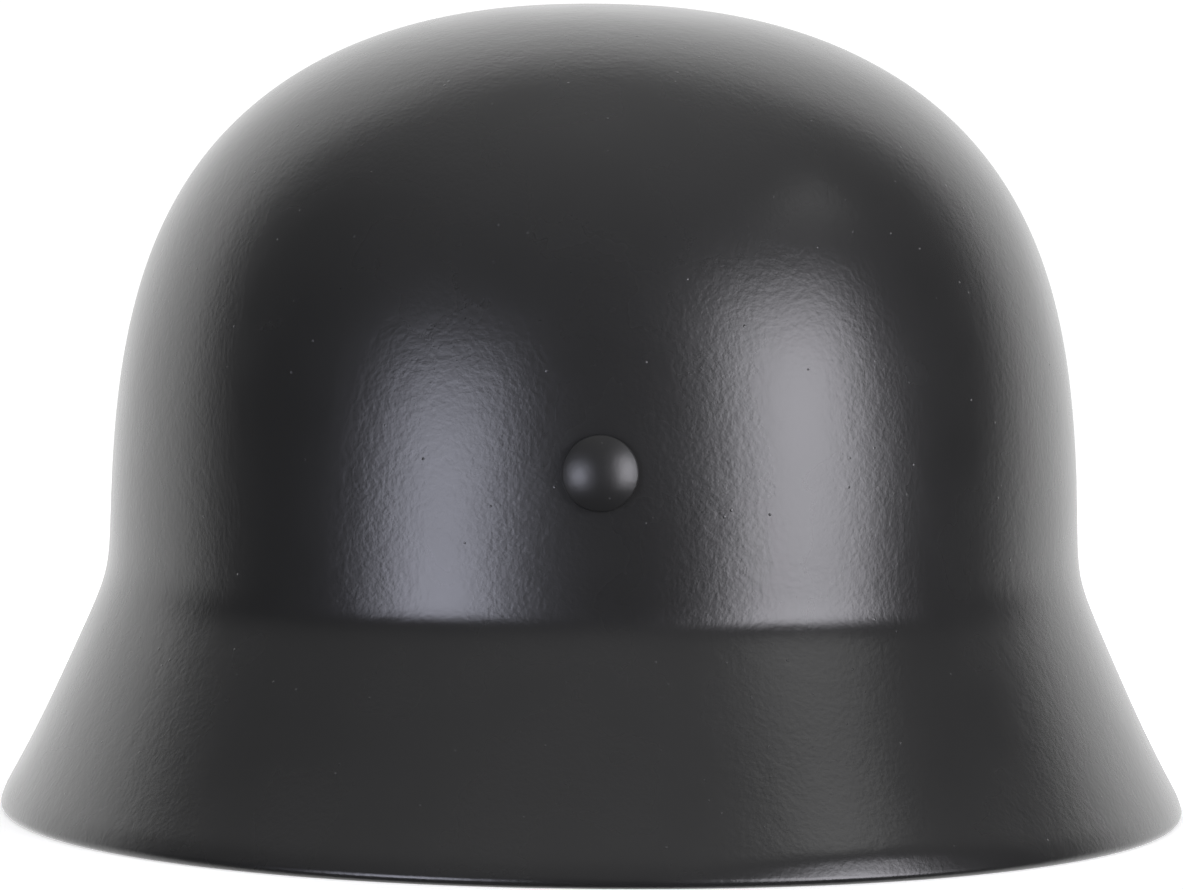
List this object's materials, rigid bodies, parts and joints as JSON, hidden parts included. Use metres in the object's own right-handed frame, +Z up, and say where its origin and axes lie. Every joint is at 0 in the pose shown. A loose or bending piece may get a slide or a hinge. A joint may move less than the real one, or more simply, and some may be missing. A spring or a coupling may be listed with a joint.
{
  "type": "steel combat helmet",
  "caption": "Pressed steel combat helmet shell with a visor, flared sides and neck guard, a rolled edge, liner rivets and vent bushings, open inside for a head.",
  "frame": {"origin": "in the plane that the rim rests on, under the middle of the helmet's length and width", "axes": "+X to one side, +Y towards the neck guard with the visor at -Y, +Z up through the crown"},
  "size_m": [0.236, 0.289, 0.1605],
  "materials": {
    "charcoal_paint": "satin",
    "rivet_paint": "satin",
    "vent_paint": "satin"
  },
  "bodies": {
    "root": {"shell": "charcoal_paint", "rear_rivet": "rivet_paint", "left_rivet": "rivet_paint", "right_rivet": "rivet_paint", "left_vent": "vent_paint", "right_vent": "vent_paint"}
  },
  "joints": []
}
